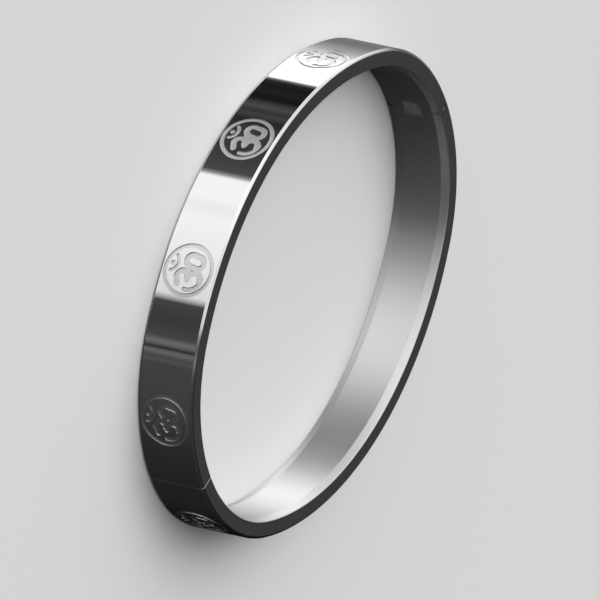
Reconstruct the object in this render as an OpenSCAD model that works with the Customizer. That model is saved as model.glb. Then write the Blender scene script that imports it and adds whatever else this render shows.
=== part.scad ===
// Kada bangle: a flat oval band of polished steel in two halves, hinged at one end and clasped
// at the other, with a row of etched roundels round the outside. All lengths are millimetres.
// The bangle lies on one rim. Z is the axis of the ring and X its long way, with the clasp at
// the +X end and the hinge at the -X end. The front half is on the -Y side.

/* [Band] */
// Length of the wrist opening, from hinge to clasp
inner_length = 64.4; // [60:0.1:72]
// Height of the wrist opening, square to its length
inner_height = 50.4; // [48:0.1:56]
// Inside radius of the band at the hinge and at the clasp
end_radius = 21.2; // [19:0.1:23]
// Width of the band, from rim to rim
band_width = 8; // [7.8:0.1:12]
// Thickness of the band
wall = 2.5; // [2.2:0.1:3]
// Bevel along the two outer edges
outer_bevel = 0.3; // [0.1:0.05:0.5]
// Bevel along the two inner edges, measured down the wall from the rim
inner_bevel_height = 1.1; // [0.3:0.1:1.5]
// The same bevel, measured across the rim
inner_bevel_depth = 0.3; // [0.1:0.05:0.5]

/* [Roundels] */
// Number of roundels on each half
roundels_per_half = 5; // [3:1:7]
// Outer diameter of a roundel's ring
roundel_d = 7.1; // [6:0.1:7.2]
// Width of the ring's line
ring_line = 0.55; // [0.3:0.05:0.7]
// Height of the Om sign inside the ring
sign_height = 5.2; // [3.5:0.1:5.4]
// Depth of the etching
etch_depth = 0.15; // [0.05:0.01:0.3]

/* [Hinge] */
// Diameter of the hinge pin
pin_d = 0.9; // [0.6:0.05:1]
// Clearance round the pin, on the radius
pin_play = 0.03; // [0.02:0.01:0.08]
// Depth of the pin's ends below the rims
pin_recess = 0.05; // [0.02:0.01:0.3]
// Height of the middle knuckle
middle_knuckle = 2.6; // [2:0.1:3.4]
// Gap between two knuckles, along the pin
knuckle_gap = 0.1; // [0.06:0.01:0.2]
// Clearance between a knuckle and the recess that it turns in
knuckle_play = 0.15; // [0.14:0.01:0.2]
// How far the knuckles lie below the band's faces
knuckle_shy = 0.02; // [0.01:0.01:0.1]

/* [Clasp] */
// Gap between the ends of the two halves
clasp_gap = 0.1; // [0.06:0.01:0.3]
// Reach of the tongue into each half
tongue_reach = 3.5; // [2.5:0.1:4]
// Width of the tongue, along the axis of the ring
tongue_width = 4; // [3:0.1:5.5]
// Thickness of the tongue
tongue_wall = 0.6; // [0.4:0.05:0.8]
// Clearance round the tongue in the slot that it snaps into
slot_play = 0.12; // [0.08:0.01:0.15]
// Clearance round the tongue in the seat that holds it
seat_play = 0.02; // [0.01:0.01:0.04]

/* [Hidden] */
$fn = 96;
// How far a cutting solid reaches past what it cuts
over = 1;

// The oval is four arcs that meet smoothly: an end arc at the hinge and at the clasp, centred on
// the X axis, and a side arc on each side, centred on the Y axis beyond the middle.
end_x = inner_length / 2 - end_radius;
side_rise = inner_height / 2 - end_radius;
side_y = (end_x * end_x - side_rise * side_rise) / (2 * side_rise);
side_radius = inner_height / 2 + side_y;
join_angle = atan2(side_y, end_x);

// Lengths along the outside of one half, and the spacing of its roundels
end_outer = end_radius + wall;
side_outer = side_radius + wall;
end_run = end_outer * join_angle * PI / 180;
side_run = side_outer * (180 - 2 * join_angle) * PI / 180;
roundel_pitch = (2 * end_run + side_run) / roundels_per_half;

// The hinge pin stands in the middle of the band's thickness
pin_x = -(inner_length + wall) / 2;
knuckle_r = wall / 2 - knuckle_shy;
middle_low = (band_width - middle_knuckle) / 2;
middle_high = (band_width + middle_knuckle) / 2;

// The tongue is curved about the hinge pin, so that it leaves its slot without rubbing
tongue_r = inner_length + wall;

// The Om sign is drawn on a grid on which it is 100 high, with its middle at the origin. Each
// curved stroke is an arc, from one angle to the other, with round ends.
// centre x, centre y, radius, from angle, to angle, width
SIGN_ARCS = [
    [-17, 13, 14, -95, 95, 15],
    [-20.5, -21, 17, -95, 90, 16],
    [-14, -8, 34, 170, 266, 12],
    [14, 55, 23, 198, 318, 9.5]
];
// start x, start y, end x, end y, width
SIGN_BARS = [
    [-18, 28, -36.5, 20.5, 15],
    [-17, -3.5, -25, -3.5, 12],
    [-8, -6, 12, 8, 12]
];
// How much narrower the round end of an arc is than the arc
CAP_TRIM = 0.8;
SIGN_DOT = [11, 46];
SIGN_DOT_R = 6.5;
SIGN_LOOP = [25, -3, 21.5, -21];
SIGN_LOOP_OUTER = 45;
SIGN_LOOP_HOLE = 15;

// Angle of the outward normal at a length s along the outside of a half, from the clasp
function normal_at(s) =
    s < end_run ? s / end_outer * 180 / PI
    : s < end_run + side_run ? join_angle + (s - end_run) / side_outer * 180 / PI
    : 180 - join_angle + (s - end_run - side_run) / end_outer * 180 / PI;

// Centre and outer radius of the arc that holds the point at length s
function on_side_arc(s) = s >= end_run && s < end_run + side_run;
function arc_centre(s) = on_side_arc(s) ? [0, -side_y] : [s < end_run ? end_x : -end_x, 0];
function arc_outer(s) = on_side_arc(s) ? side_outer : end_outer;

module bar(x0, y0, x1, y1, width) {
    translate([x0, y0]) {
        circle(d = width);
        rotate(atan2(y1 - y0, x1 - x0)) translate([0, -width / 2]) square([norm([x1 - x0, y1 - y0]), width]);
    }
    translate([x1, y1]) circle(d = width);
}

module arc_stroke(x, y, radius, from, to, width) {
    reach = 2 * (radius + width);
    fan = [for (i = [0:6]) let (a = from + (to - from) * i / 6) reach * [cos(a), sin(a)]];
    translate([x, y]) {
        intersection() {
            difference() {
                circle(r = radius + width / 2);
                circle(r = radius - width / 2);
            }
            polygon(concat([[0, 0]], fan));
        }
        for (a = [from, to]) translate(radius * [cos(a), sin(a)]) circle(d = width - CAP_TRIM);
    }
}

module om_sign() {
    for (a = SIGN_ARCS) arc_stroke(a[0], a[1], a[2], a[3], a[4], a[5]);
    for (b = SIGN_BARS) bar(b[0], b[1], b[2], b[3], b[4]);
    translate(SIGN_DOT) circle(r = SIGN_DOT_R);
    difference() {
        bar(SIGN_LOOP[0], SIGN_LOOP[1], SIGN_LOOP[2], SIGN_LOOP[3], SIGN_LOOP_OUTER);
        bar(SIGN_LOOP[0], SIGN_LOOP[1], SIGN_LOOP[2], SIGN_LOOP[3], SIGN_LOOP_HOLE);
    }
}

module roundel() {
    difference() {
        circle(d = roundel_d);
        circle(d = roundel_d - 2 * ring_line);
    }
    scale(sign_height / 100) om_sign();
}

// One roundel's pocket, on the +Y side or the -Y side, with a floor that follows the band.
// The top of the sign points to the lower rim.
module roundel_pocket(s, side) {
    centre = arc_centre(s);
    outer = arc_outer(s);
    translate([centre[0], side * centre[1], 0]) difference() {
        rotate(side * normal_at(s)) translate([outer - over, 0, band_width / 2])
            rotate([-90, 0, 0]) rotate([0, 90, 0]) linear_extrude(2 * over) roundel();
        translate([0, 0, -over]) cylinder(r = outer - etch_depth, h = band_width + 2 * over);
    }
}

// Section of the band at an inside radius, in the plane of the radius and the axis
module band_section(inside) {
    translate([inside, 0]) polygon([
        [inner_bevel_depth, 0], [wall - outer_bevel, 0], [wall, outer_bevel],
        [wall, band_width - outer_bevel], [wall - outer_bevel, band_width],
        [inner_bevel_depth, band_width], [0, band_width - inner_bevel_height],
        [0, inner_bevel_height]
    ]);
}

// The quarter of the band between the +X and +Y axes, drawn from where its two arcs join. It
// runs a little past both axes.
module quarter_band() {
    past = 1;
    translate([0, -side_y, 0]) rotate(join_angle) {
        rotate_extrude(angle = 90 - join_angle + past) band_section(side_radius);
        translate([side_radius - end_radius, 0, 0])
            rotate_extrude(angle = -join_angle - past) band_section(end_radius);
    }
}

// The half of the band on the +Y side, cut square at both ends
module half_band() {
    difference() {
        union() {
            quarter_band();
            mirror([1, 0, 0]) quarter_band();
        }
        translate([-inner_length, -inner_height, -over])
            cube([2 * inner_length, inner_height, band_width + 2 * over]);
    }
}

// The wedge that the lower inner bevel takes off the knuckles, a little deeper than on the band
module inner_wedge() {
    face_x = -inner_length / 2 - knuckle_shy;
    rotate([90, 0, 0]) linear_extrude(2 * wall, center = true) polygon([
        [face_x, inner_bevel_height], [face_x - 2 * inner_bevel_depth, -inner_bevel_height],
        [face_x + wall, -inner_bevel_height], [face_x + wall, inner_bevel_height]
    ]);
}

// A knuckle between two heights, bevelled where it meets a rim
module knuckle(low, high) {
    low_bevel = low <= 0 ? outer_bevel : 0;
    high_bevel = high >= band_width ? outer_bevel : 0;
    difference() {
        translate([pin_x, 0, 0]) rotate_extrude() polygon([
            [0, low], [knuckle_r - low_bevel, low], [knuckle_r, low + low_bevel],
            [knuckle_r, high - high_bevel], [knuckle_r - high_bevel, high], [0, high]
        ]);
        if (low <= 0) inner_wedge();
        if (high >= band_width) translate([0, 0, band_width]) mirror([0, 0, 1]) inner_wedge();
    }
}

module knuckle_recess(low, high) {
    translate([pin_x, 0, low]) cylinder(r = knuckle_r + knuckle_play, h = high - low);
}

module pin_bore() {
    translate([pin_x, 0, -over]) cylinder(d = pin_d + 2 * pin_play, h = band_width + 2 * over);
}

// Cuts half of the clasp gap off the end of a half
module clasp_cut(side) {
    translate([0, side > 0 ? -over : -clasp_gap / 2, -over])
        cube([inner_length, over + clasp_gap / 2, band_width + 2 * over]);
}

// The tongue's own shape, grown by a clearance, between two reaches measured from the clasp
module tongue_shape(back, front, play) {
    from = -asin(front / tongue_r);
    to = asin(back / tongue_r);
    translate([pin_x, 0, band_width / 2]) rotate(from) rotate_extrude(angle = to - from)
        translate([tongue_r, 0]) square([tongue_wall + 2 * play, tongue_width + 2 * play], center = true);
}

module front_half() {
    color("silver") difference() {
        union() {
            difference() {
                mirror([0, 1, 0]) half_band();
                knuckle_recess(middle_low - knuckle_gap, middle_high + knuckle_gap);
                clasp_cut(-1);
                tongue_shape(over, tongue_reach + slot_play, slot_play);
            }
            knuckle(0, middle_low - knuckle_gap);
            knuckle(middle_high + knuckle_gap, band_width);
        }
        pin_bore();
        for (i = [0:roundels_per_half - 1]) roundel_pocket((i + 0.5) * roundel_pitch, -1);
    }
}

module back_half() {
    color("silver") difference() {
        union() {
            difference() {
                half_band();
                knuckle_recess(-over, middle_low);
                knuckle_recess(middle_high, band_width + over);
                clasp_cut(1);
                tongue_shape(tongue_reach + seat_play, over, seat_play);
            }
            knuckle(middle_low, middle_high);
        }
        pin_bore();
        for (i = [0:roundels_per_half - 1]) roundel_pocket((i + 0.5) * roundel_pitch, 1);
    }
}

module hinge_pin() {
    color("gainsboro") translate([pin_x, 0, pin_recess])
        cylinder(d = pin_d, h = band_width - 2 * pin_recess);
}

module clasp_tongue() {
    color("gainsboro") tongue_shape(tongue_reach, tongue_reach, 0);
}

front_half();
back_half();
hinge_pin();
clasp_tongue();
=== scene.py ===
"""Looks of a kada bangle: a flat oval band of mirror-polished steel in two halves, with a hinge at
one end, a clasp at the other and a row of etched roundels round the outside."""

import math

import bmesh
import bpy
import numpy as np
from mathutils import Matrix, Vector
from mathutils.geometry import delaunay_2d_cdt


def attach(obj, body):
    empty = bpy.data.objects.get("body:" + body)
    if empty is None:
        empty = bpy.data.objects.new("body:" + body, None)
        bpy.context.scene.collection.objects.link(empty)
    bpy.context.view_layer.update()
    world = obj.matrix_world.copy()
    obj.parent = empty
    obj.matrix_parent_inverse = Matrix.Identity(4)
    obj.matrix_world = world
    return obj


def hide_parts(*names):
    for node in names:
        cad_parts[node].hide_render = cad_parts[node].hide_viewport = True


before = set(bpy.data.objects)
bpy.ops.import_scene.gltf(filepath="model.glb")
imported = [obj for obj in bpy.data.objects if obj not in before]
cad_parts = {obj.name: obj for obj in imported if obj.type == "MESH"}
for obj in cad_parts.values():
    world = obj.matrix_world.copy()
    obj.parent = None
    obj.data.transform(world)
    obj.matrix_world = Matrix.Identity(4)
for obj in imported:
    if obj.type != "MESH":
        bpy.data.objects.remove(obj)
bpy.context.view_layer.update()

# Sizes of the bangle in millimetres, the same as in its CAD source
INNER_LENGTH = 64.4
INNER_HEIGHT = 50.4
END_RADIUS = 21.2
BAND_WIDTH = 8.0
WALL = 2.5
OUTER_BEVEL = 0.3
INNER_BEVEL_HEIGHT = 1.1
INNER_BEVEL_DEPTH = 0.3
ROUNDELS_PER_HALF = 5
ROUNDEL_D = 7.1
RING_LINE = 0.55
SIGN_HEIGHT = 5.2
ETCH_DEPTH = 0.15
PIN_D = 0.9
PIN_PLAY = 0.03
MIDDLE_KNUCKLE = 2.6
KNUCKLE_PLAY = 0.15
KNUCKLE_SHY = 0.02
CLASP_GAP = 0.1
TONGUE_REACH = 3.5
TONGUE_WIDTH = 4.0
TONGUE_WALL = 0.6
SLOT_PLAY = 0.12

# Detail that the CAD leaves to this file, in millimetres
OUTER_EDGE_ROUND = 0.07
OUTER_RIM_ROUND = 0.3
RIM_EDGE_ROUND = 0.12
INNER_EDGE_ROUND = 0.8
CLASP_CHAMFER = 0.035
HINGE_LINE = 0.015
KNUCKLE_EDGE = 0.04
KNUCKLE_END_SHY = 0.004
SWING_PLAY = 0.02
ETCH_SLOPE = 0.045

# How many steps the band has along each roundel's pitch
STATIONS_PER_ROUNDEL = 40

# How far a cutting tool reaches past the band, in millimetres
CUT_BEYOND = 1.0

# The oval: an end arc at the hinge and at the clasp, and a flatter arc on each side
END_X = INNER_LENGTH / 2 - END_RADIUS
SIDE_RISE = INNER_HEIGHT / 2 - END_RADIUS
SIDE_Y = (END_X**2 - SIDE_RISE**2) / (2 * SIDE_RISE)
SIDE_RADIUS = INNER_HEIGHT / 2 + SIDE_Y
JOIN_ANGLE = math.atan2(SIDE_Y, END_X)
END_OUTER = END_RADIUS + WALL
SIDE_OUTER = SIDE_RADIUS + WALL
END_RUN = END_OUTER * JOIN_ANGLE
SIDE_RUN = SIDE_OUTER * (math.pi - 2 * JOIN_ANGLE)
HALF_RUN = 2 * END_RUN + SIDE_RUN
PITCH = HALF_RUN / ROUNDELS_PER_HALF
MIDDLE_Z = BAND_WIDTH / 2

# The hinge, as in the CAD
PIN_X = -(INNER_LENGTH + WALL) / 2
KNUCKLE_R = WALL / 2 - KNUCKLE_SHY
RECESS_R = KNUCKLE_R + KNUCKLE_PLAY
MIDDLE_LOW = (BAND_WIDTH - MIDDLE_KNUCKLE) / 2
MIDDLE_HIGH = (BAND_WIDTH + MIDDLE_KNUCKLE) / 2
TONGUE_R = INNER_LENGTH + WALL
SWING = math.radians(47)

# The Om sign, on a grid on which it is 100 high, with its middle at the origin

# Arcs: centre x, centre y, radius, from angle, to angle, width
SIGN_ARCS = [
    (-17, 13, 14, -95, 95, 15),
    (-20.5, -21, 17, -95, 90, 16),
    (-14, -8, 34, 170, 266, 12),
    (14, 55, 23, 198, 318, 9.5),
]
# Bars: start x, start y, end x, end y, width
SIGN_BARS = [(-18, 28, -36.5, 20.5, 15), (-17, -3.5, -25, -3.5, 12), (-8, -6, 12, 8, 12)]
SIGN_DOT = (11, 46, 6.5)
SIGN_LOOP = (25, -3, 21.5, -21)
SIGN_LOOP_OUTER = 45
SIGN_LOOP_HOLE = 15
GRID = SIGN_HEIGHT / 100

# Shares of the etching's depth short of which a point is put on the face, or past which on the floor
NEAR_FACE = 0.12
NEAR_FLOOR = 0.88

# Material slots of each half, in the order of its faces' material index
POLISHED, ETCHED, ETCH_WALL, SATIN, ENDS = range(5)

MM = 0.001

# Distances in metres below which points are one: in a row of stretches, in a tool and at a cut
ROW_WELD = 0.0000012
TOOL_WELD = 0.0000005
CUT_WELD = 0.0000001

# The filed patch at the hinge, in metres: how far it is even, where it ends, and its limit in x
FILED_EVEN = 0.0009
FILED_FADE = 0.0014
FILED_SIDE = -0.03

# The polish's colour, which the studio's greys allow for
POLISH_COLOUR = (0.63, 0.63, 0.635, 1)


# Materials

def new_material(name):
    material = bpy.data.materials.new(name)
    material.use_nodes = True
    return material, material.node_tree, material.node_tree.nodes["Principled BSDF"]


def wire(tree, source, target):
    tree.links.new(source, target)


def shader_node(tree, kind, **settings):
    node = tree.nodes.new(kind)
    for key, value in settings.items():
        setattr(node, key, value)
    return node


def stretched_noise(tree, source, scale, detail):
    """Noise on coordinates that are scaled by a vector, for marks that run one way."""
    mapping = shader_node(tree, "ShaderNodeMapping")
    mapping.inputs["Scale"].default_value = scale
    wire(tree, source, mapping.inputs["Vector"])
    noise = shader_node(tree, "ShaderNodeTexNoise")
    noise.inputs["Scale"].default_value = 1.0
    noise.inputs["Detail"].default_value = detail
    wire(tree, mapping.outputs["Vector"], noise.inputs["Vector"])
    return noise.outputs["Fac"]


def between(tree, factor, low, high):
    """Turns a 0 to 1 value into a range."""
    node = shader_node(tree, "ShaderNodeMapRange")
    node.inputs["To Min"].default_value = low
    node.inputs["To Max"].default_value = high
    wire(tree, factor, node.inputs["Value"])
    return node.outputs["Result"]


def calc(tree, operation, a, b=0.0):
    node = shader_node(tree, "ShaderNodeMath", operation=operation)
    for socket, value in zip(node.inputs, (a, b)):
        if isinstance(value, bpy.types.NodeSocket):
            wire(tree, value, socket)
        else:
            socket.default_value = value
    return node.outputs[0]


def bumped(tree, shader, height, distance, strength):
    bump = shader_node(tree, "ShaderNodeBump")
    bump.inputs["Distance"].default_value = distance
    bump.inputs["Strength"].default_value = strength
    wire(tree, height, bump.inputs["Height"])
    wire(tree, bump.outputs["Normal"], shader.inputs["Normal"])


def polished_steel():
    """Mirror polish: faint lines left by the mop along the band, and a slightly uneven gloss."""
    material, tree, shader = new_material("polished_steel")
    shader.inputs["Base Color"].default_value = POLISH_COLOUR
    shader.inputs["Metallic"].default_value = 1.0
    along = shader_node(tree, "ShaderNodeUVMap", uv_map="along_band").outputs["UV"]
    place = shader_node(tree, "ShaderNodeTexCoord").outputs["Object"]
    lines = stretched_noise(tree, along, scale=(150, 9000, 1), detail=3)
    smears = stretched_noise(tree, place, scale=(260, 260, 260), detail=4)
    wire(tree, between(tree, smears, low=0.015, high=0.04), shader.inputs["Roughness"])
    bumped(tree, shader, lines, distance=0.000003, strength=0.1)
    return material


def filed_patch(tree):
    """How much of the hand-filed finish shows: 1 over the middle knuckle of the hinge, where the
    joint was filed flush, and 0 elsewhere."""
    place = shader_node(tree, "ShaderNodeTexCoord").outputs["Object"]
    parts = shader_node(tree, "ShaderNodeSeparateXYZ")
    wire(tree, place, parts.inputs[0])
    across = calc(tree, "ABSOLUTE", parts.outputs["Y"])
    above = calc(tree, "ABSOLUTE", calc(tree, "SUBTRACT", parts.outputs["Z"], MIDDLE_Z * MM))
    away = calc(tree, "MAXIMUM", across, above)
    fade = shader_node(tree, "ShaderNodeMapRange", interpolation_type="SMOOTHSTEP")
    fade.inputs["From Min"].default_value = FILED_EVEN
    fade.inputs["From Max"].default_value = FILED_FADE
    fade.inputs["To Min"].default_value = 1.0
    fade.inputs["To Max"].default_value = 0.0
    wire(tree, away, fade.inputs["Value"])
    at_hinge = calc(tree, "LESS_THAN", parts.outputs["X"], FILED_SIDE)
    return calc(tree, "MULTIPLY", fade.outputs["Result"], at_hinge)


def satin_steel():
    """The inner wall: brushed along the band and worn soft by the wrist, with a duller patch
    over the hinge."""
    material, tree, shader = new_material("satin_steel")
    shader.inputs["Base Color"].default_value = (0.61, 0.61, 0.615, 1)
    along = shader_node(tree, "ShaderNodeUVMap", uv_map="along_band").outputs["UV"]
    lines = stretched_noise(tree, along, scale=(260, 16000, 1), detail=4)
    wire(tree, between(tree, lines, low=0.38, high=0.46), shader.inputs["Roughness"])
    wire(tree, between(tree, filed_patch(tree), low=1.0, high=0.84), shader.inputs["Metallic"])
    bumped(tree, shader, lines, distance=0.00001, strength=0.12)
    return material


def etched_steel(name, colour, low, high, strength):
    """Acid-etched steel: an even, fine-grained matte, grey beside whatever the polish mirrors."""
    material, tree, shader = new_material(name)
    shader.inputs["Base Color"].default_value = colour
    shader.inputs["Metallic"].default_value = 1.0
    place = shader_node(tree, "ShaderNodeTexCoord").outputs["Object"]
    grain = stretched_noise(tree, place, scale=(14000, 14000, 14000), detail=5)
    wire(tree, between(tree, grain, low, high), shader.inputs["Roughness"])
    bumped(tree, shader, grain, distance=0.00003, strength=strength)
    return material


def ground_steel(name, colour, low, high, scale):
    """Steel left as it was ground, with fine marks in one direction."""
    material, tree, shader = new_material(name)
    shader.inputs["Base Color"].default_value = colour
    shader.inputs["Metallic"].default_value = 1.0
    place = shader_node(tree, "ShaderNodeTexCoord").outputs["Object"]
    marks = stretched_noise(tree, place, scale, detail=4)
    wire(tree, between(tree, marks, low, high), shader.inputs["Roughness"])
    bumped(tree, shader, marks, distance=0.000015, strength=0.25)
    return material


band_finishes = [
    polished_steel(),
    etched_steel("etched_steel", (0.62, 0.62, 0.625, 1), low=0.4, high=0.5, strength=0.25),
    etched_steel("etched_edge_steel", (0.62, 0.62, 0.625, 1), low=0.34, high=0.44, strength=0.1),
    satin_steel(),
    ground_steel("ground_end_steel", (0.4, 0.4, 0.405, 1), low=0.26, high=0.36,
                 scale=(900, 9000, 900)),
]
pin_finish = ground_steel("ground_pin_steel", (0.56, 0.56, 0.565, 1), low=0.2, high=0.32,
                          scale=(9000, 900, 900))
tongue_finish = ground_steel("satin_tongue_steel", (0.58, 0.58, 0.585, 1), low=0.22, high=0.34,
                             scale=(9000, 300, 9000))


# The section of the band

def rounded_section():
    """The section from the top of the outer face, over the rim, down the inner wall and back to
    the foot of the outer face. Each row is: r, z, normal r, normal z, with r measured outwards
    from the outer face."""
    corners = [
        (0, BAND_WIDTH - OUTER_BEVEL, OUTER_EDGE_ROUND),
        (-OUTER_BEVEL, BAND_WIDTH, OUTER_RIM_ROUND),
        (-WALL + INNER_BEVEL_DEPTH, BAND_WIDTH, RIM_EDGE_ROUND),
        (-WALL, BAND_WIDTH - INNER_BEVEL_HEIGHT, INNER_EDGE_ROUND),
        (-WALL, INNER_BEVEL_HEIGHT, INNER_EDGE_ROUND),
        (-WALL + INNER_BEVEL_DEPTH, 0, RIM_EDGE_ROUND),
        (-OUTER_BEVEL, 0, OUTER_RIM_ROUND),
        (0, OUTER_BEVEL, OUTER_EDGE_ROUND),
    ]
    rows = []
    steps = 4
    for i, (r, z, rounding) in enumerate(corners):
        here = Vector((r, z))
        come = (here - Vector(corners[i - 1][:2])).normalized()
        go = (Vector(corners[(i + 1) % len(corners)][:2]) - here).normalized()
        turn = math.acos(max(-1, min(1, come.dot(go))))
        cut_back = rounding * math.tan(turn / 2)
        centre = here - come * cut_back + Vector((-come.y, come.x)) * rounding
        start = math.atan2(-come.x, come.y)
        for k in range(steps + 1):
            angle = start + turn * k / steps
            normal = Vector((math.cos(angle), math.sin(angle)))
            spot = centre + normal * rounding
            rows.append((spot.x, spot.y, normal.x, normal.y))
    return rows


SECTION = rounded_section()
FACE_TOP = SECTION[0][1]
FACE_FOOT = SECTION[-1][1]

# Rows of the section further in than this are satin: the inner wall and both its bevels
SATIN_FROM = -WALL + INNER_BEVEL_DEPTH + RIM_EDGE_ROUND


# The etched roundel

def capsule(x0, y0, x1, y1, half, steps=28):
    """Outline at a distance from a straight line."""
    turn = math.atan2(y1 - y0, x1 - x0)
    outline = []
    for cx, cy, first in ((x1, y1, turn - math.pi / 2), (x0, y0, turn + math.pi / 2)):
        for k in range(steps + 1):
            angle = first + math.pi * k / steps
            outline.append((cx + half * math.cos(angle), cy + half * math.sin(angle)))
    return outline


def circle_outline(x, y, radius, steps):
    turns = [2 * math.pi * k / steps for k in range(steps)]
    return [(x + radius * math.cos(a), y + radius * math.sin(a)) for a in turns]


def arc_outline(x, y, radius, start, end, half, steps=40, tip_steps=16):
    """Outline at a distance from an arc, with round ends: out along the far side and round the
    end, then back along the near side and round the start."""
    start, end = math.radians(start), math.radians(end)
    outline = []
    for first, last, reach, tip_turn in (
            (start, end, radius + half, 0), (end, start, radius - half, math.pi)):
        for k in range(steps + 1):
            angle = first + (last - first) * k / steps
            outline.append((x + reach * math.cos(angle), y + reach * math.sin(angle)))
        tip_x = x + radius * math.cos(last)
        tip_y = y + radius * math.sin(last)
        for k in range(1, tip_steps):
            angle = last + tip_turn + math.pi * k / tip_steps
            outline.append((tip_x + half * math.cos(angle), tip_y + half * math.sin(angle)))
    return outline


def from_line(px, py, x0, y0, x1, y1):
    """Distance of points from a straight line between two points."""
    dx, dy = x1 - x0, y1 - y0
    share = np.clip(((px - x0) * dx + (py - y0) * dy) / (dx * dx + dy * dy), 0, 1)
    return np.hypot(px - x0 - share * dx, py - y0 - share * dy)


def from_arc(px, py, x, y, radius, start, end):
    """Distance of points from an arc."""
    middle = math.radians((start + end) / 2)
    half_turn = math.radians((end - start) / 2)
    turn = np.arctan2(py - y, px - x) - middle
    turn = (turn + math.pi) % (2 * math.pi) - math.pi
    turn = middle + np.clip(turn, -half_turn, half_turn)
    return np.hypot(px - x - radius * np.cos(turn), py - y - radius * np.sin(turn))


LOOP_RADIUS = (SIGN_LOOP_OUTER + SIGN_LOOP_HOLE) / 4
LOOP_HALF = (SIGN_LOOP_OUTER - SIGN_LOOP_HOLE) / 4
RING_RADIUS = (ROUNDEL_D - RING_LINE) / 2 / GRID
RING_HALF = RING_LINE / 2 / GRID
SLOPE = ETCH_SLOPE / GRID


def roundel_outlines():
    """Closed outlines of every stroke, at its top edge and at its floor."""
    outlines = []
    for inset in (0, SLOPE):
        for x, y, radius, start, end, width in SIGN_ARCS:
            outlines.append(arc_outline(x, y, radius, start, end, width / 2 - inset))
        for x0, y0, x1, y1, width in SIGN_BARS:
            outlines.append(capsule(x0, y0, x1, y1, width / 2 - inset))
        outlines.append(circle_outline(SIGN_DOT[0], SIGN_DOT[1], SIGN_DOT[2] - inset, steps=40))
        outlines.append(capsule(*SIGN_LOOP, LOOP_RADIUS + LOOP_HALF - inset))
        outlines.append(capsule(*SIGN_LOOP, LOOP_RADIUS - LOOP_HALF + inset, steps=16))
        outlines.append(circle_outline(0, 0, RING_RADIUS + RING_HALF - inset, steps=120))
        outlines.append(circle_outline(0, 0, RING_RADIUS - RING_HALF + inset, steps=120))
    return outlines


def etched_share(px, py):
    """How deep the etching is at each point: 0 on the face and 1 on the floor."""
    room = [RING_HALF - abs(np.hypot(px, py) - RING_RADIUS)]
    for x, y, radius, start, end, width in SIGN_ARCS:
        room.append(width / 2 - from_arc(px, py, x, y, radius, start, end))
    for x0, y0, x1, y1, width in SIGN_BARS:
        room.append(width / 2 - from_line(px, py, x0, y0, x1, y1))
    room.append(SIGN_DOT[2] - np.hypot(px - SIGN_DOT[0], py - SIGN_DOT[1]))
    room.append(LOOP_HALF - abs(from_line(px, py, *SIGN_LOOP) - LOOP_RADIUS))
    share = np.clip(np.max(room, axis=0) / SLOPE, 0, 1)
    share[share < NEAR_FACE] = 0
    share[share > NEAR_FLOOR] = 1
    return share


# One stretch of the band, as long as a roundel's pitch, laid out straight

def straight_stretch(name, sign_right):
    """A mesh with the length along the band on X, the outward direction on Y and the height on
    Z. The sign's right side lies towards +X or -X."""
    stations = [PITCH * k / STATIONS_PER_ROUNDEL for k in range(STATIONS_PER_ROUNDEL + 1)]

    spots, edges = [], []
    for s in stations:
        edges.append((len(spots), len(spots) + 1))
        spots += [Vector((s, FACE_FOOT)), Vector((s, FACE_TOP))]
    for outline in roundel_outlines():
        first = len(spots)
        for x, y in outline:
            spots.append(Vector((PITCH / 2 + sign_right * x * GRID, MIDDLE_Z - y * GRID)))
        count = len(outline)
        edges += [(first + k, first + (k + 1) % count) for k in range(count)]
    whole_hull, tolerance = 0, 0.0005
    spots, _, triangles = delaunay_2d_cdt(spots, edges, [], whole_hull, tolerance, False)[:3]

    s = np.array([spot.x for spot in spots])
    z = np.array([spot.y for spot in spots])
    share = etched_share(sign_right * (s - PITCH / 2) / GRID, (MIDDLE_Z - z) / GRID)
    points = [(a, -ETCH_DEPTH * e, b) for a, b, e in zip(s, z, share)]
    faces, finishes = [], []
    for triangle in triangles:
        faces.append(tuple(reversed(triangle)))
        deep = [share[k] for k in triangle]
        finishes.append(POLISHED if max(deep) == 0 else ETCHED if min(deep) == 1 else ETCH_WALL)

    rows = len(SECTION)
    first = len(points)
    points += [(s, r, z) for s in stations for r, z, _, _ in SECTION]
    for k in range(STATIONS_PER_ROUNDEL):
        for j in range(rows - 1):
            a = first + k * rows + j
            faces.append((a, a + 1, a + rows + 1, a + rows))
            inside = max(SECTION[j][0], SECTION[j + 1][0]) < SATIN_FROM
            finishes.append(SATIN if inside else POLISHED)

    mesh = bpy.data.meshes.new(name)
    mesh.from_pydata([(x * MM, y * MM, z * MM) for x, y, z in points], [], faces)
    finish = mesh.attributes.new("finish", "INT", "FACE")
    finish.data.foreach_set("value", finishes)
    piece = bpy.data.objects.new(name, mesh)
    bpy.context.scene.collection.objects.link(piece)
    return piece


# The tree that repeats the stretch and bends the row round the oval

class Tree:
    """A node tree under construction, with short calls for the nodes that it needs."""

    def __init__(self, name):
        self.tree = bpy.data.node_groups.new(name, "GeometryNodeTree")
        self.inputs = {}
        self.entry = None

    def socket(self, name, kind):
        item = self.tree.interface.new_socket(name, in_out="INPUT", socket_type="NodeSocket" + kind)
        self.inputs[name] = item.identifier

    def start(self):
        self.tree.interface.new_socket(
            "Geometry", in_out="OUTPUT", socket_type="NodeSocketGeometry")
        self.entry = self.tree.nodes.new("NodeGroupInput").outputs

    def node(self, kind, settings=None, **sockets):
        made = self.tree.nodes.new(kind)
        for key, value in (settings or {}).items():
            setattr(made, key, value)
        for key, value in sockets.items():
            target = made.inputs[key.replace("_", " ")]
            if isinstance(value, bpy.types.NodeSocket):
                self.tree.links.new(value, target)
            else:
                target.default_value = value
        return made.outputs

    def math(self, operation, a, b=0.0):
        return calc(self.tree, operation, a, b)


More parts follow.
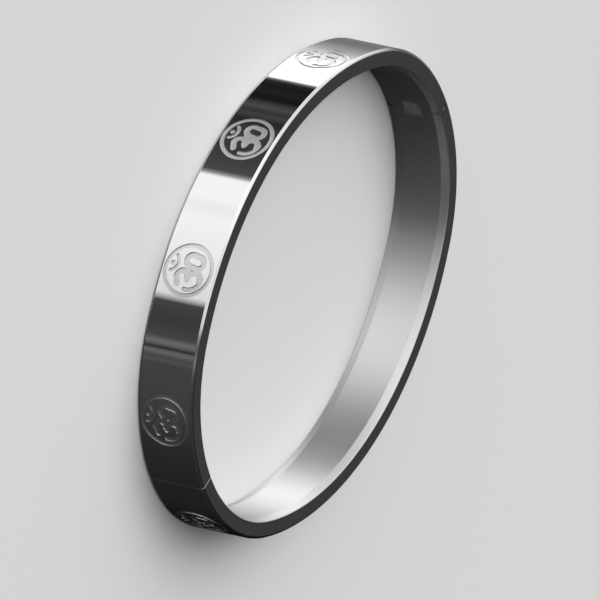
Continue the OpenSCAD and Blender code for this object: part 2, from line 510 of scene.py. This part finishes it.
def band_tree():
    """Repeats the straight stretch in a row, bends the row round the oval and gives each face its
    finish. The heights and the depths stay as they are."""
    t = Tree("roundels_round_the_oval")
    t.socket("Stretch", "Object")
    t.socket("Count", "Int")
    for name in ("Pitch", "End Run", "Side Run", "End Outer", "Side Outer", "End X", "Side Y",
                 "Side"):
        t.socket(name, "Float")
    for name in ("Polished", "Etched", "Etch Wall", "Satin"):
        t.socket(name, "Material")
    t.start()
    given = t.entry

    step = t.node("ShaderNodeCombineXYZ", X=given["Pitch"])["Vector"]
    row = t.node("GeometryNodeMeshLine", Count=given["Count"], Offset=step)["Mesh"]
    stretch = t.node("GeometryNodeObjectInfo", Object=given["Stretch"])["Geometry"]
    shape = t.node("GeometryNodeInstanceOnPoints", Points=row, Instance=stretch)["Instances"]
    shape = t.node("GeometryNodeRealizeInstances", Geometry=shape)["Geometry"]
    shape = t.node("GeometryNodeMergeByDistance", Geometry=shape, Distance=ROW_WELD)["Geometry"]

    place = t.node("GeometryNodeInputPosition")["Position"]
    parts = t.node("ShaderNodeSeparateXYZ", Vector=place)
    past_end = t.math("SUBTRACT", parts["X"], given["End Run"])
    past_side = t.math("SUBTRACT", past_end, given["Side Run"])
    first = t.math("DIVIDE", t.math("MINIMUM", parts["X"], given["End Run"]), given["End Outer"])
    on_side = t.math("MINIMUM", t.math("MAXIMUM", past_end, 0), given["Side Run"])
    second = t.math("DIVIDE", on_side, given["Side Outer"])
    third = t.math("DIVIDE", t.math("MAXIMUM", past_side, 0), given["End Outer"])
    angle = t.math("ADD", t.math("ADD", first, second), third)

    beyond_end = t.math("GREATER_THAN", past_end, 0)
    beyond_side = t.math("GREATER_THAN", past_side, 0)
    side_arc = t.math("SUBTRACT", beyond_end, beyond_side)
    turns = t.math("SUBTRACT", t.math("SUBTRACT", 1, beyond_end), beyond_side)
    centre_x = t.math("MULTIPLY", given["End X"], turns)
    centre_y = t.math("MULTIPLY", t.math("MULTIPLY", given["Side Y"], side_arc), -1)
    difference = t.math("SUBTRACT", given["Side Outer"], given["End Outer"])
    radius = t.math("ADD", given["End Outer"], t.math("MULTIPLY", difference, side_arc))
    radius = t.math("ADD", radius, parts["Y"])
    x = t.math("ADD", centre_x, t.math("MULTIPLY", radius, t.math("COSINE", angle)))
    y = t.math("ADD", centre_y, t.math("MULTIPLY", radius, t.math("SINE", angle)))
    y = t.math("MULTIPLY", y, given["Side"])
    bent = t.node("ShaderNodeCombineXYZ", X=x, Y=y, Z=parts["Z"])["Vector"]
    shape = t.node("GeometryNodeSetPosition", Geometry=shape, Position=bent)["Geometry"]
    turned = t.node("FunctionNodeCompare", {"data_type": "FLOAT"}, A=given["Side"], B=0.0)["Result"]
    shape = t.node("GeometryNodeFlipFaces", Mesh=shape, Selection=turned)["Mesh"]

    finish = t.node(
        "GeometryNodeInputNamedAttribute", {"data_type": "INT"}, Name="finish")["Attribute"]
    for number, name in enumerate(("Polished", "Etched", "Etch Wall", "Satin")):
        gap = t.math("ABSOLUTE", t.math("SUBTRACT", finish, number))
        chosen = t.math("LESS_THAN", gap, 0.5)
        shape = t.node("GeometryNodeSetMaterial", Geometry=shape, Selection=chosen,
                       Material=given[name])["Geometry"]
    leave = t.tree.nodes.new("NodeGroupOutput")
    t.tree.links.new(shape, leave.inputs["Geometry"])
    return t


ROW = band_tree()


def plain_mesh(piece, name):
    """The evaluated shape of an object, as a mesh with no modifiers."""
    bpy.context.view_layer.update()
    evaluated = piece.evaluated_get(bpy.context.evaluated_depsgraph_get())
    mesh = bpy.data.meshes.new_from_object(evaluated)
    mesh.name = name
    return mesh


def bent_band(name, side):
    """Half of the band, open at both ends, bent round the oval on the +Y or the -Y side."""
    stretch = straight_stretch(name + "_stretch", -side)
    host = bpy.data.objects.new(name, bpy.data.meshes.new(name))
    bpy.context.scene.collection.objects.link(host)
    modifier = host.modifiers.new("row", "NODES")
    modifier.node_group = ROW.tree
    values = {
        "Stretch": stretch, "Count": ROUNDELS_PER_HALF, "Pitch": PITCH * MM,
        "End Run": END_RUN * MM, "Side Run": SIDE_RUN * MM, "End Outer": END_OUTER * MM,
        "Side Outer": SIDE_OUTER * MM, "End X": END_X * MM, "Side Y": SIDE_Y * MM,
        "Side": float(side), "Polished": band_finishes[POLISHED], "Etched": band_finishes[ETCHED],
        "Etch Wall": band_finishes[ETCH_WALL], "Satin": band_finishes[SATIN],
    }
    for key, value in values.items():
        modifier[ROW.inputs[key]] = value
    mesh = plain_mesh(host, name)
    host.modifiers.clear()
    host.data = mesh
    bpy.data.objects.remove(stretch)
    return host


# Places on the band

def bent_place(s, r, z, side):
    """Where a point of the straight row lies on the oval, in metres."""
    if s < END_RUN:
        angle, cx, cy, radius = s / END_OUTER, END_X, 0, END_OUTER
    elif s < END_RUN + SIDE_RUN:
        angle, cx, cy, radius = JOIN_ANGLE + (s - END_RUN) / SIDE_OUTER, 0, -SIDE_Y, SIDE_OUTER
    else:
        angle = math.pi - JOIN_ANGLE + (s - END_RUN - SIDE_RUN) / END_OUTER
        cx, cy, radius = -END_X, 0, END_OUTER
    x = cx + (radius + r) * math.cos(angle)
    y = cy + (radius + r) * math.sin(angle)
    return Vector((x * MM, y * side * MM, z * MM))


def straight_place(points, side):
    """The other way round: where points of the oval, in metres, lie in the straight row. Gives
    the length along the band, r, z and the angle of the normal."""
    x, y, z = (points / MM).T
    y = y * side
    around = np.arctan2(y + SIDE_Y, x)
    on_side = (around > JOIN_ANGLE) & (around < math.pi - JOIN_ANGLE)
    at_clasp = ~on_side & (x > 0)
    cx = np.where(on_side, 0, np.where(at_clasp, END_X, -END_X))
    cy = np.where(on_side, -SIDE_Y, 0)
    radius = np.where(on_side, SIDE_OUTER, END_OUTER)
    angle = np.arctan2(y - cy, x - cx)
    r = np.hypot(x - cx, y - cy) - radius
    s = np.where(
        on_side, END_RUN + (angle - JOIN_ANGLE) * SIDE_OUTER,
        np.where(at_clasp, angle * END_OUTER, HALF_RUN - (math.pi - angle) * END_OUTER))
    return s, r, z, angle


# Cutting tools and knuckles

def solid_from(name, build):
    """A closed mesh object with the finish of the ends."""
    mesh = bpy.data.meshes.new(name)
    shape = bmesh.new()
    build(shape)
    bmesh.ops.remove_doubles(shape, verts=shape.verts, dist=TOOL_WELD)
    bmesh.ops.recalc_face_normals(shape, faces=shape.faces)
    for face in shape.faces:
        face.material_index = ENDS
    shape.to_mesh(mesh)
    shape.free()
    for material in band_finishes:
        mesh.materials.append(material)
    piece = bpy.data.objects.new(name, mesh)
    bpy.context.scene.collection.objects.link(piece)
    return piece


def round_pin(radius, angle, z):
    """A place at a distance and in a direction from the hinge pin's axis, in metres."""
    x = (PIN_X + radius * math.cos(angle)) * MM
    y = radius * math.sin(angle) * MM
    return x, y, z * MM


def turned_solid(name, profile, steps=96):
    """A solid turned about the hinge pin from points of radius and height, which start and end
    on the axis."""
    def build(shape):
        rings = []
        for radius, z in profile:
            if radius == 0:
                rings.append([shape.verts.new(round_pin(0, 0, z))] * steps)
                continue
            ring = []
            for k in range(steps):
                angle = 2 * math.pi * (k + 0.5) / steps
                ring.append(shape.verts.new(round_pin(radius, angle, z)))
            rings.append(ring)
        for low, high in zip(rings, rings[1:]):
            for k in range(steps):
                corners = [low[k], low[k - 1], high[k - 1], high[k]]
                corners = list(dict.fromkeys(corners))
                shape.faces.new(corners)
    return solid_from(name, build)


def knuckle(name, low, high, rim=0):
    """A knuckle with softened edges, a hair lower than its room. One at the lower rim (-1) or the
    upper rim (1) is cut to follow the band's inner bevel, its outer bevel, and the rounding
    between the outer bevel and the rim."""
    low += KNUCKLE_END_SHY
    high -= KNUCKLE_END_SHY
    piece = turned_solid(name, [
        (0, low), (KNUCKLE_R - KNUCKLE_EDGE, low), (KNUCKLE_R, low + KNUCKLE_EDGE),
        (KNUCKLE_R, high - KNUCKLE_EDGE), (KNUCKLE_R - KNUCKLE_EDGE, high), (0, high)])
    if rim == 0:
        return piece
    half = BAND_WIDTH / 2
    inside = -INNER_LENGTH / 2
    outside = inside - WALL
    rounding_drop = OUTER_RIM_ROUND / 10
    rounding_slope = -0.414
    # Each cut: a point on it, as x and the height from the middle, and the way it faces
    cuts = (
        (inside - KNUCKLE_SHY, half - INNER_BEVEL_HEIGHT, INNER_BEVEL_HEIGHT, INNER_BEVEL_DEPTH),
        (outside + KNUCKLE_SHY, half - OUTER_BEVEL, -1, 1),
        (outside + OUTER_BEVEL, half - rounding_drop, rounding_slope, 1),
    )
    shape = bmesh.new()
    shape.from_mesh(piece.data)
    for x, up, across, along in cuts:
        bmesh.ops.bisect_plane(
            shape, geom=shape.verts[:] + shape.edges[:] + shape.faces[:], dist=CUT_WELD,
            plane_co=Vector((x, 0, MIDDLE_Z + rim * up)) * MM,
            plane_no=Vector((across, 0, rim * along)).normalized(), clear_outer=True)
        bmesh.ops.holes_fill(shape, edges=[edge for edge in shape.edges if edge.is_boundary])
    for face in shape.faces:
        face.material_index = ENDS
    bmesh.ops.recalc_face_normals(shape, faces=shape.faces)
    shape.to_mesh(piece.data)
    shape.free()
    return piece


def recess(name, low, high):
    """Room for a knuckle: a fine line all round it, which widens at the outer face so far that
    the other half can swing."""
    def build(shape):
        steps = 192
        foot, top = [], []
        for k in range(steps):
            angle = 2 * math.pi * (k + 0.5) / steps
            from_outside = abs(math.pi - angle)
            radius = KNUCKLE_R + HINGE_LINE
            if from_outside < SWING:
                needed = (WALL / 2 + SWING_PLAY) / math.cos(SWING - from_outside)
                radius = max(radius, min(RECESS_R, needed))
            foot.append(shape.verts.new(round_pin(radius, angle, low)))
            top.append(shape.verts.new(round_pin(radius, angle, high)))
        for k in range(steps):
            shape.faces.new((foot[k - 1], foot[k], top[k], top[k - 1]))
        shape.faces.new(foot)
        shape.faces.new(top)
    return solid_from(name, build)


def clasp_slot():
    """The slot in the front half's end, curved about the hinge pin like the tongue."""
    half_wall = TONGUE_WALL / 2 + SLOT_PLAY
    half_width = TONGUE_WIDTH / 2 + SLOT_PLAY

    def build(shape):
        rings = []
        steps = 6
        for k in range(steps + 1):
            reach = CUT_BEYOND - (CUT_BEYOND + TONGUE_REACH + SLOT_PLAY) * k / steps
            angle = math.asin(reach / TONGUE_R)
            ring = []
            for dr, dz in ((-1, -1), (1, -1), (1, 1), (-1, 1)):
                radius = TONGUE_R + dr * half_wall
                ring.append(shape.verts.new(round_pin(radius, angle, MIDDLE_Z + dz * half_width)))
            rings.append(ring)
        for here, there in zip(rings, rings[1:]):
            for k in range(4):
                shape.faces.new((here[k], here[k - 1], there[k - 1], there[k]))
        shape.faces.new(rings[0])
        shape.faces.new(rings[-1])
    return solid_from("clasp_slot", build)


def combine(piece, tool, operation):
    """Applies a boolean and removes the tool."""
    modifier = piece.modifiers.new("cut", "BOOLEAN")
    modifier.operation = operation
    modifier.solver = "MANIFOLD"
    modifier.object = tool
    mesh = plain_mesh(piece, piece.name)
    piece.modifiers.clear()
    piece.data = mesh
    bpy.data.objects.remove(tool)


# The two halves

def close_ends(piece, side):
    """Gives the clasp's end its small chamfer and face, and closes the hinge's end."""
    shape = bmesh.new()
    shape.from_mesh(piece.data)
    open_verts = {v for edge in shape.edges if edge.is_boundary for v in edge.verts}
    clasp = [v for v in open_verts if v.co.x > 0]
    hinge = [v for v in open_verts if v.co.x < 0]
    for verts, s in ((clasp, 0), (hinge, HALF_RUN)):
        ring = []
        for r, z, _, _ in SECTION:
            target = bent_place(s, r, z, side)
            ring.append(min(verts, key=lambda v: (v.co - target).length))
        if s == 0:
            inner = []
            for vert, (r, z, nr, nz) in zip(ring, SECTION):
                vert.co = bent_place(CLASP_GAP / 2 + CLASP_CHAMFER, r, z, side)
                inner.append(shape.verts.new(bent_place(
                    CLASP_GAP / 2, r - nr * CLASP_CHAMFER, z - nz * CLASP_CHAMFER, side)))
            count = len(ring)
            for k in range(count):
                face = shape.faces.new((ring[k - 1], ring[k], inner[k], inner[k - 1]))
                face.material_index = ENDS
            ring = inner
        face = shape.faces.new(ring)
        face.material_index = ENDS
    bmesh.ops.recalc_face_normals(shape, faces=shape.faces)
    shape.to_mesh(piece.data)
    shape.free()


def finish_surface(piece, side):
    """Smooth mirror normals on the skin, flat ones elsewhere, and a UV map along the band."""
    mesh = piece.data
    count = len(mesh.loops)
    points = np.zeros(len(mesh.vertices) * 3, np.float32)
    mesh.vertices.foreach_get("co", points)
    corner_vert = np.zeros(count, np.int32)
    mesh.loops.foreach_get("vertex_index", corner_vert)
    finish = np.zeros(len(mesh.polygons), np.int32)
    mesh.polygons.foreach_get("material_index", finish)
    sizes = np.zeros(len(mesh.polygons), np.int32)
    mesh.polygons.foreach_get("loop_total", sizes)
    corner_finish = np.repeat(finish, sizes)

    s, r, z, angle = straight_place(points.reshape(-1, 3).astype(float), side)
    rows = np.array(SECTION + SECTION[:1])
    start, end = rows[:-1], rows[1:]
    lengths = np.hypot(*(end - start)[:, :2].T)
    runs = np.concatenate([[0], np.cumsum(lengths)])
    spot = np.stack([r, z], axis=1)[:, None, :]
    line = (end - start)[None, :, :2]
    never_zero = 1e-12
    share = ((spot - start[None, :, :2]) * line).sum(2) / np.maximum(lengths**2, never_zero)
    share = np.clip(share, 0, 1)
    off = np.hypot(*np.moveaxis(spot - start[None, :, :2] - share[..., None] * line, 2, 0))
    best = off.argmin(axis=1)
    picked = share[np.arange(len(best)), best]
    normal = start[best, 2:] * (1 - picked[:, None]) + end[best, 2:] * picked[:, None]
    run = runs[best] + lengths[best] * picked

    skin = np.stack([
        normal[:, 0] * np.cos(angle), normal[:, 0] * np.sin(angle) * side, normal[:, 1]], axis=1)
    floor = np.stack([np.cos(angle), np.sin(angle) * side, np.zeros(len(angle))], axis=1)
    corners = np.zeros((count, 3))
    on_skin = (corner_finish == POLISHED) | (corner_finish == SATIN)
    on_floor = corner_finish == ETCHED
    corners[on_skin] = skin[corner_vert[on_skin]]
    corners[on_floor] = floor[corner_vert[on_floor]]
    mesh.polygons.foreach_set("use_smooth", (finish != ENDS) & (finish != ETCH_WALL))

    layer = mesh.uv_layers.new(name="along_band")
    pairs = np.stack([s[corner_vert], run[corner_vert]], axis=1) * MM
    layer.data.foreach_set("uv", pairs.astype(np.float32).ravel())
    mesh.update()
    mesh.normals_split_custom_set([tuple(c) for c in corners])


def make_half(name, side):
    """One half of the band with its hinge and clasp, on the +Y side (1) or the -Y side (-1)."""
    piece = bent_band(name, side)
    piece.data.materials.clear()
    for material in band_finishes:
        piece.data.materials.append(material)
    finish = np.zeros(len(piece.data.polygons), np.int32)
    piece.data.attributes["finish"].data.foreach_get("value", finish)
    piece.data.polygons.foreach_set("material_index", finish)
    close_ends(piece, side)
    below, above = -CUT_BEYOND, BAND_WIDTH + CUT_BEYOND
    if side < 0:
        foot, top = MIDDLE_LOW - HINGE_LINE, MIDDLE_HIGH + HINGE_LINE
        combine(piece, recess("recess", foot, top), "DIFFERENCE")
        combine(piece, knuckle("low_knuckle", 0, foot, rim=-1), "UNION")
        combine(piece, knuckle("high_knuckle", top, BAND_WIDTH, rim=1), "UNION")
        combine(piece, clasp_slot(), "DIFFERENCE")
    else:
        combine(piece, recess("low_recess", below, MIDDLE_LOW), "DIFFERENCE")
        combine(piece, recess("high_recess", MIDDLE_HIGH, above), "DIFFERENCE")
        combine(piece, knuckle("middle_knuckle", MIDDLE_LOW, MIDDLE_HIGH), "UNION")
    bore_r = PIN_D / 2 + PIN_PLAY
    rod = [(0, below), (bore_r, below), (bore_r, above), (0, above)]
    combine(piece, turned_solid("bore", rod, steps=48), "DIFFERENCE")
    finish_surface(piece, side)
    return piece


front_band = make_half("front_band", -1)
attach(front_band, "front")
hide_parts("front_half")

back_band = make_half("back_band", 1)
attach(back_band, "back")
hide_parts("back_half")

for node, finish in (("hinge_pin", pin_finish), ("clasp_tongue", tongue_finish)):
    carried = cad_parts[node]
    if not carried.material_slots:
        carried.data.materials.append(finish)
    for place in carried.material_slots:
        place.material = finish


# Floor

def make_floor():
    """A plain pale floor, a hair under the rim. The polished steel doesn't mirror it, so that it
    mirrors the studio."""
    mesh = bpy.data.meshes.new("floor")
    reach, drop = 4.0, 0.00002
    corners = [(-reach, -reach, 0), (reach, -reach, 0), (reach, reach, 0), (-reach, reach, 0)]
    mesh.from_pydata(corners, [], [(0, 1, 2, 3)])
    floor = bpy.data.objects.new("floor", mesh)
    bpy.context.scene.collection.objects.link(floor)
    material, _, shader = new_material("floor_paint")
    shader.inputs["Base Color"].default_value = (0.74, 0.735, 0.725, 1)
    shader.inputs["Roughness"].default_value = 0.9
    mesh.materials.append(material)
    floor.location.z = -drop
    floor.visible_glossy = False


make_floor()


def make_softbox():
    """One wide soft light from above. The steel doesn't mirror it."""
    data = bpy.data.lights.new("softbox", "SUN")
    data.energy = 1.2
    data.angle = math.radians(75)
    lamp = bpy.data.objects.new("softbox", data)
    bpy.context.scene.collection.objects.link(lamp)
    lamp.rotation_euler = (math.radians(18), math.radians(-14), 0)
    lamp.visible_glossy = False


make_softbox()


# Studio surroundings: what the steel mirrors, by compass direction and height

def grey(level):
    """Radiance that shows as a display level of 0 to 255 once the steel has mirrored it."""
    shown = level / 255
    linear = shown / 12.92 if shown < 0.04045 else ((shown + 0.055) / 1.055) ** 2.4
    return linear / POLISH_COLOUR[0]


# Rings of cards, from the lowest up: a compass direction in degrees, and the level mirrored there
STEEP_CARDS = [
    (-180, 262), (-168, 156), (-155, 104), (-142, 118), (-128, 158), (-114, 205), (-99, 228),
    (-84, 218), (-68, 186), (-52, 106), (-36, 88), (-20, 74), (0, 60), (38, 46), (76, 36),
    (120, 24), (135, 60), (146, 230), (157, 290), (169, 325), (180, 262),
]
LOW_CARDS = [
    (-180, 330), (-164, 320), (-162.6, 250), (-161.6, 40), (-157, 24), (-154, 34), (-149.4, 18),
    (-144.9, 74), (-142.5, 46), (-140.3, 66), (-137.5, 34), (-133, 56), (-122, 56), (-115, 66),
    (-111.3, 76), (-110.4, 242), (-101, 244), (-97.5, 232), (-93, 242), (-80, 234), (-72, 226),
    (-62.3, 214), (-61.4, 66), (-54, 56), (-47.9, 66), (-45, 102), (-42.9, 96), (-41, 22),
    (-38.7, 104), (-37.5, 92), (-35.5, 66), (-33.3, 78), (-30.9, 64), (-12, 61), (0, 57), (12, 48),
    (20, 42), (36, 36), (60, 31), (70, 30), (76, 28), (84, 22), (92, 18), (100, 13), (108, 13),
    (116, 11), (127, 8), (129, 92), (136, 104), (148, 106), (152, 104), (157, 114), (160, 130),
    (164, 147), (168, 172), (172, 204), (176, 242), (180, 330),
]
LEVEL_CARDS = [
    (-180, 300), (-163, 305), (-152, 310), (-141, 290), (-130, 288), (-119, 306), (-108, 316),
    (-97, 326), (-86, 300), (-74, 307), (-63, 270), (-54, 112), (-46, 60), (-30, 40), (0, 26),
    (30, 20), (60, 18), (80, 18), (95, 14), (110, 14), (122, 20), (130, 60), (136, 130),
    (150, 110), (157, 88), (163, 130), (168, 185), (173, 240), (180, 300),
]
HIGH_CARDS = [
    (-180, 236), (-175, 240), (-165, 229), (-160, 211), (-154, 224), (-148, 222), (-141, 235),
    (-134, 248), (-110, 250), (-102, 244), (-95, 225), (-85, 215), (-75, 215), (-63, 215),
    (-55, 205), (-48, 120), (-41, 85), (-29, 112), (-19, 78), (-9, 60), (9, 54), (33, 47),
    (56, 40), (66, 34), (76, 26), (90, 18), (112, 30), (128, 57), (145, 70), (160, 140),
    (170, 177), (175, 205), (180, 236),
]

# The heights in degrees between which each ring gives way to the next
STEEP_TO_LOW = (-46, -36)
LOW_TO_LEVEL = (-18, -6)
LEVEL_TO_HIGH = (6, 18)

# The most stops that one colour ramp holds
RAMP_STOPS = 32


def turn_share(degrees):
    """How far a compass direction lies between -180 and 180 degrees, from 0 to 1."""
    return (degrees + 180) / 360


def make_surroundings():
    world = bpy.data.worlds.new("studio")
    bpy.context.scene.world = world
    world.use_nodes = True
    tree = world.node_tree
    tree.nodes.clear()

    direction = shader_node(tree, "ShaderNodeTexCoord").outputs["Generated"]
    parts = shader_node(tree, "ShaderNodeSeparateXYZ")
    wire(tree, direction, parts.inputs[0])
    compass = calc(tree, "ARCTAN2", parts.outputs["Y"], parts.outputs["X"])
    compass = calc(tree, "ADD", calc(tree, "DIVIDE", compass, 2 * math.pi), 0.5)
    height = calc(tree, "MULTIPLY", calc(tree, "ARCSINE", parts.outputs["Z"]), 180 / math.pi)

    def ramp_of(stops):
        ramp = shader_node(tree, "ShaderNodeValToRGB")
        band = ramp.color_ramp
        while len(band.elements) > 1:
            band.elements.remove(band.elements[0])
        for k, (degrees, level) in enumerate(stops):
            share = turn_share(degrees)
            stop = band.elements[0] if k == 0 else band.elements.new(share)
            stop.position = share
            stop.color = (grey(level),) * 3 + (1,)
        wire(tree, compass, ramp.inputs["Fac"])
        return ramp.outputs["Color"]

    def cards(stops):
        """A ring of cards. One with more stops than a ramp holds is made of two ramps, which
        share the stop where they meet."""
        first = ramp_of(stops[:RAMP_STOPS])
        if len(stops) <= RAMP_STOPS:
            return first
        meet = RAMP_STOPS - 1
        mix = shader_node(tree, "ShaderNodeMix", data_type="RGBA")
        past = calc(tree, "GREATER_THAN", compass, turn_share(stops[meet][0]))
        wire(tree, past, mix.inputs["Factor"])
        wire(tree, first, mix.inputs["A"])
        wire(tree, ramp_of(stops[meet:]), mix.inputs["B"])
        return mix.outputs["Result"]

    def blend(low, high, start, end):
        """One ring below a height and another above a second one, with a soft change between."""
        turn = shader_node(tree, "ShaderNodeMapRange", interpolation_type="SMOOTHSTEP")
        turn.inputs["From Min"].default_value = start
        turn.inputs["From Max"].default_value = end
        wire(tree, height, turn.inputs["Value"])
        mix = shader_node(tree, "ShaderNodeMix", data_type="RGBA")
        wire(tree, turn.outputs["Result"], mix.inputs["Factor"])
        wire(tree, low, mix.inputs["A"])
        wire(tree, high, mix.inputs["B"])
        return mix.outputs["Result"]

    seen = blend(cards(STEEP_CARDS), cards(LOW_CARDS), *STEEP_TO_LOW)
    seen = blend(seen, cards(LEVEL_CARDS), *LOW_TO_LEVEL)
    seen = blend(seen, cards(HIGH_CARDS), *LEVEL_TO_HIGH)
    studio = shader_node(tree, "ShaderNodeBackground")
    wire(tree, seen, studio.inputs["Color"])
    plain = shader_node(tree, "ShaderNodeBackground")
    plain.inputs["Color"].default_value = (0.72, 0.72, 0.71, 1)
    path = shader_node(tree, "ShaderNodeLightPath")
    choose = shader_node(tree, "ShaderNodeMixShader")
    wire(tree, path.outputs["Is Camera Ray"], choose.inputs["Fac"])
    wire(tree, studio.outputs[0], choose.inputs[1])
    wire(tree, plain.outputs[0], choose.inputs[2])
    leave = shader_node(tree, "ShaderNodeOutputWorld")
    wire(tree, choose.outputs[0], leave.inputs["Surface"])


make_surroundings()


# Camera at the photograph's angle to the bangle

def make_camera():
    """The fitted view: 28 degrees above the floor, from a long way off, rolled so that the axis of
    the ring points right and a little down."""
    focal, image = 20000.0, 600.0
    centre = Vector((-0.108, -1.576, 2538.622))
    tip, lean, turn = math.radians(28.674), math.radians(10.560), math.radians(136.392)
    up_axis = Vector((
        math.cos(lean) * math.cos(tip), math.sin(lean), -math.cos(lean) * math.sin(tip)))
    one = Vector((0, -1, 0))
    one = (one - up_axis * up_axis.dot(one)).normalized()
    two = up_axis.cross(one)
    to_clasp = math.cos(turn) * one + math.sin(turn) * two
    to_back = -math.sin(turn) * one + math.cos(turn) * two
    axes = (to_clasp, to_back, up_axis)
    right = Vector([axis.x for axis in axes])
    up = -Vector([axis.y for axis in axes])
    back = -Vector([axis.z for axis in axes])
    place = Vector([-axis.dot(centre) for axis in axes]) + Vector((0, 0, MIDDLE_Z))
    data = bpy.data.cameras.new("camera")
    data.sensor_width = 36.0
    data.lens = focal / image * data.sensor_width
    data.clip_start, data.clip_end = 0.5, 20.0
    camera = bpy.data.objects.new("camera", data)
    bpy.context.scene.collection.objects.link(camera)
    turned = Matrix((right, up, back)).transposed().to_4x4()
    camera.matrix_world = Matrix.Translation(place * MM) @ turned
    bpy.context.scene.camera = camera


make_camera()
bpy.context.scene.view_settings.view_transform = "Standard"
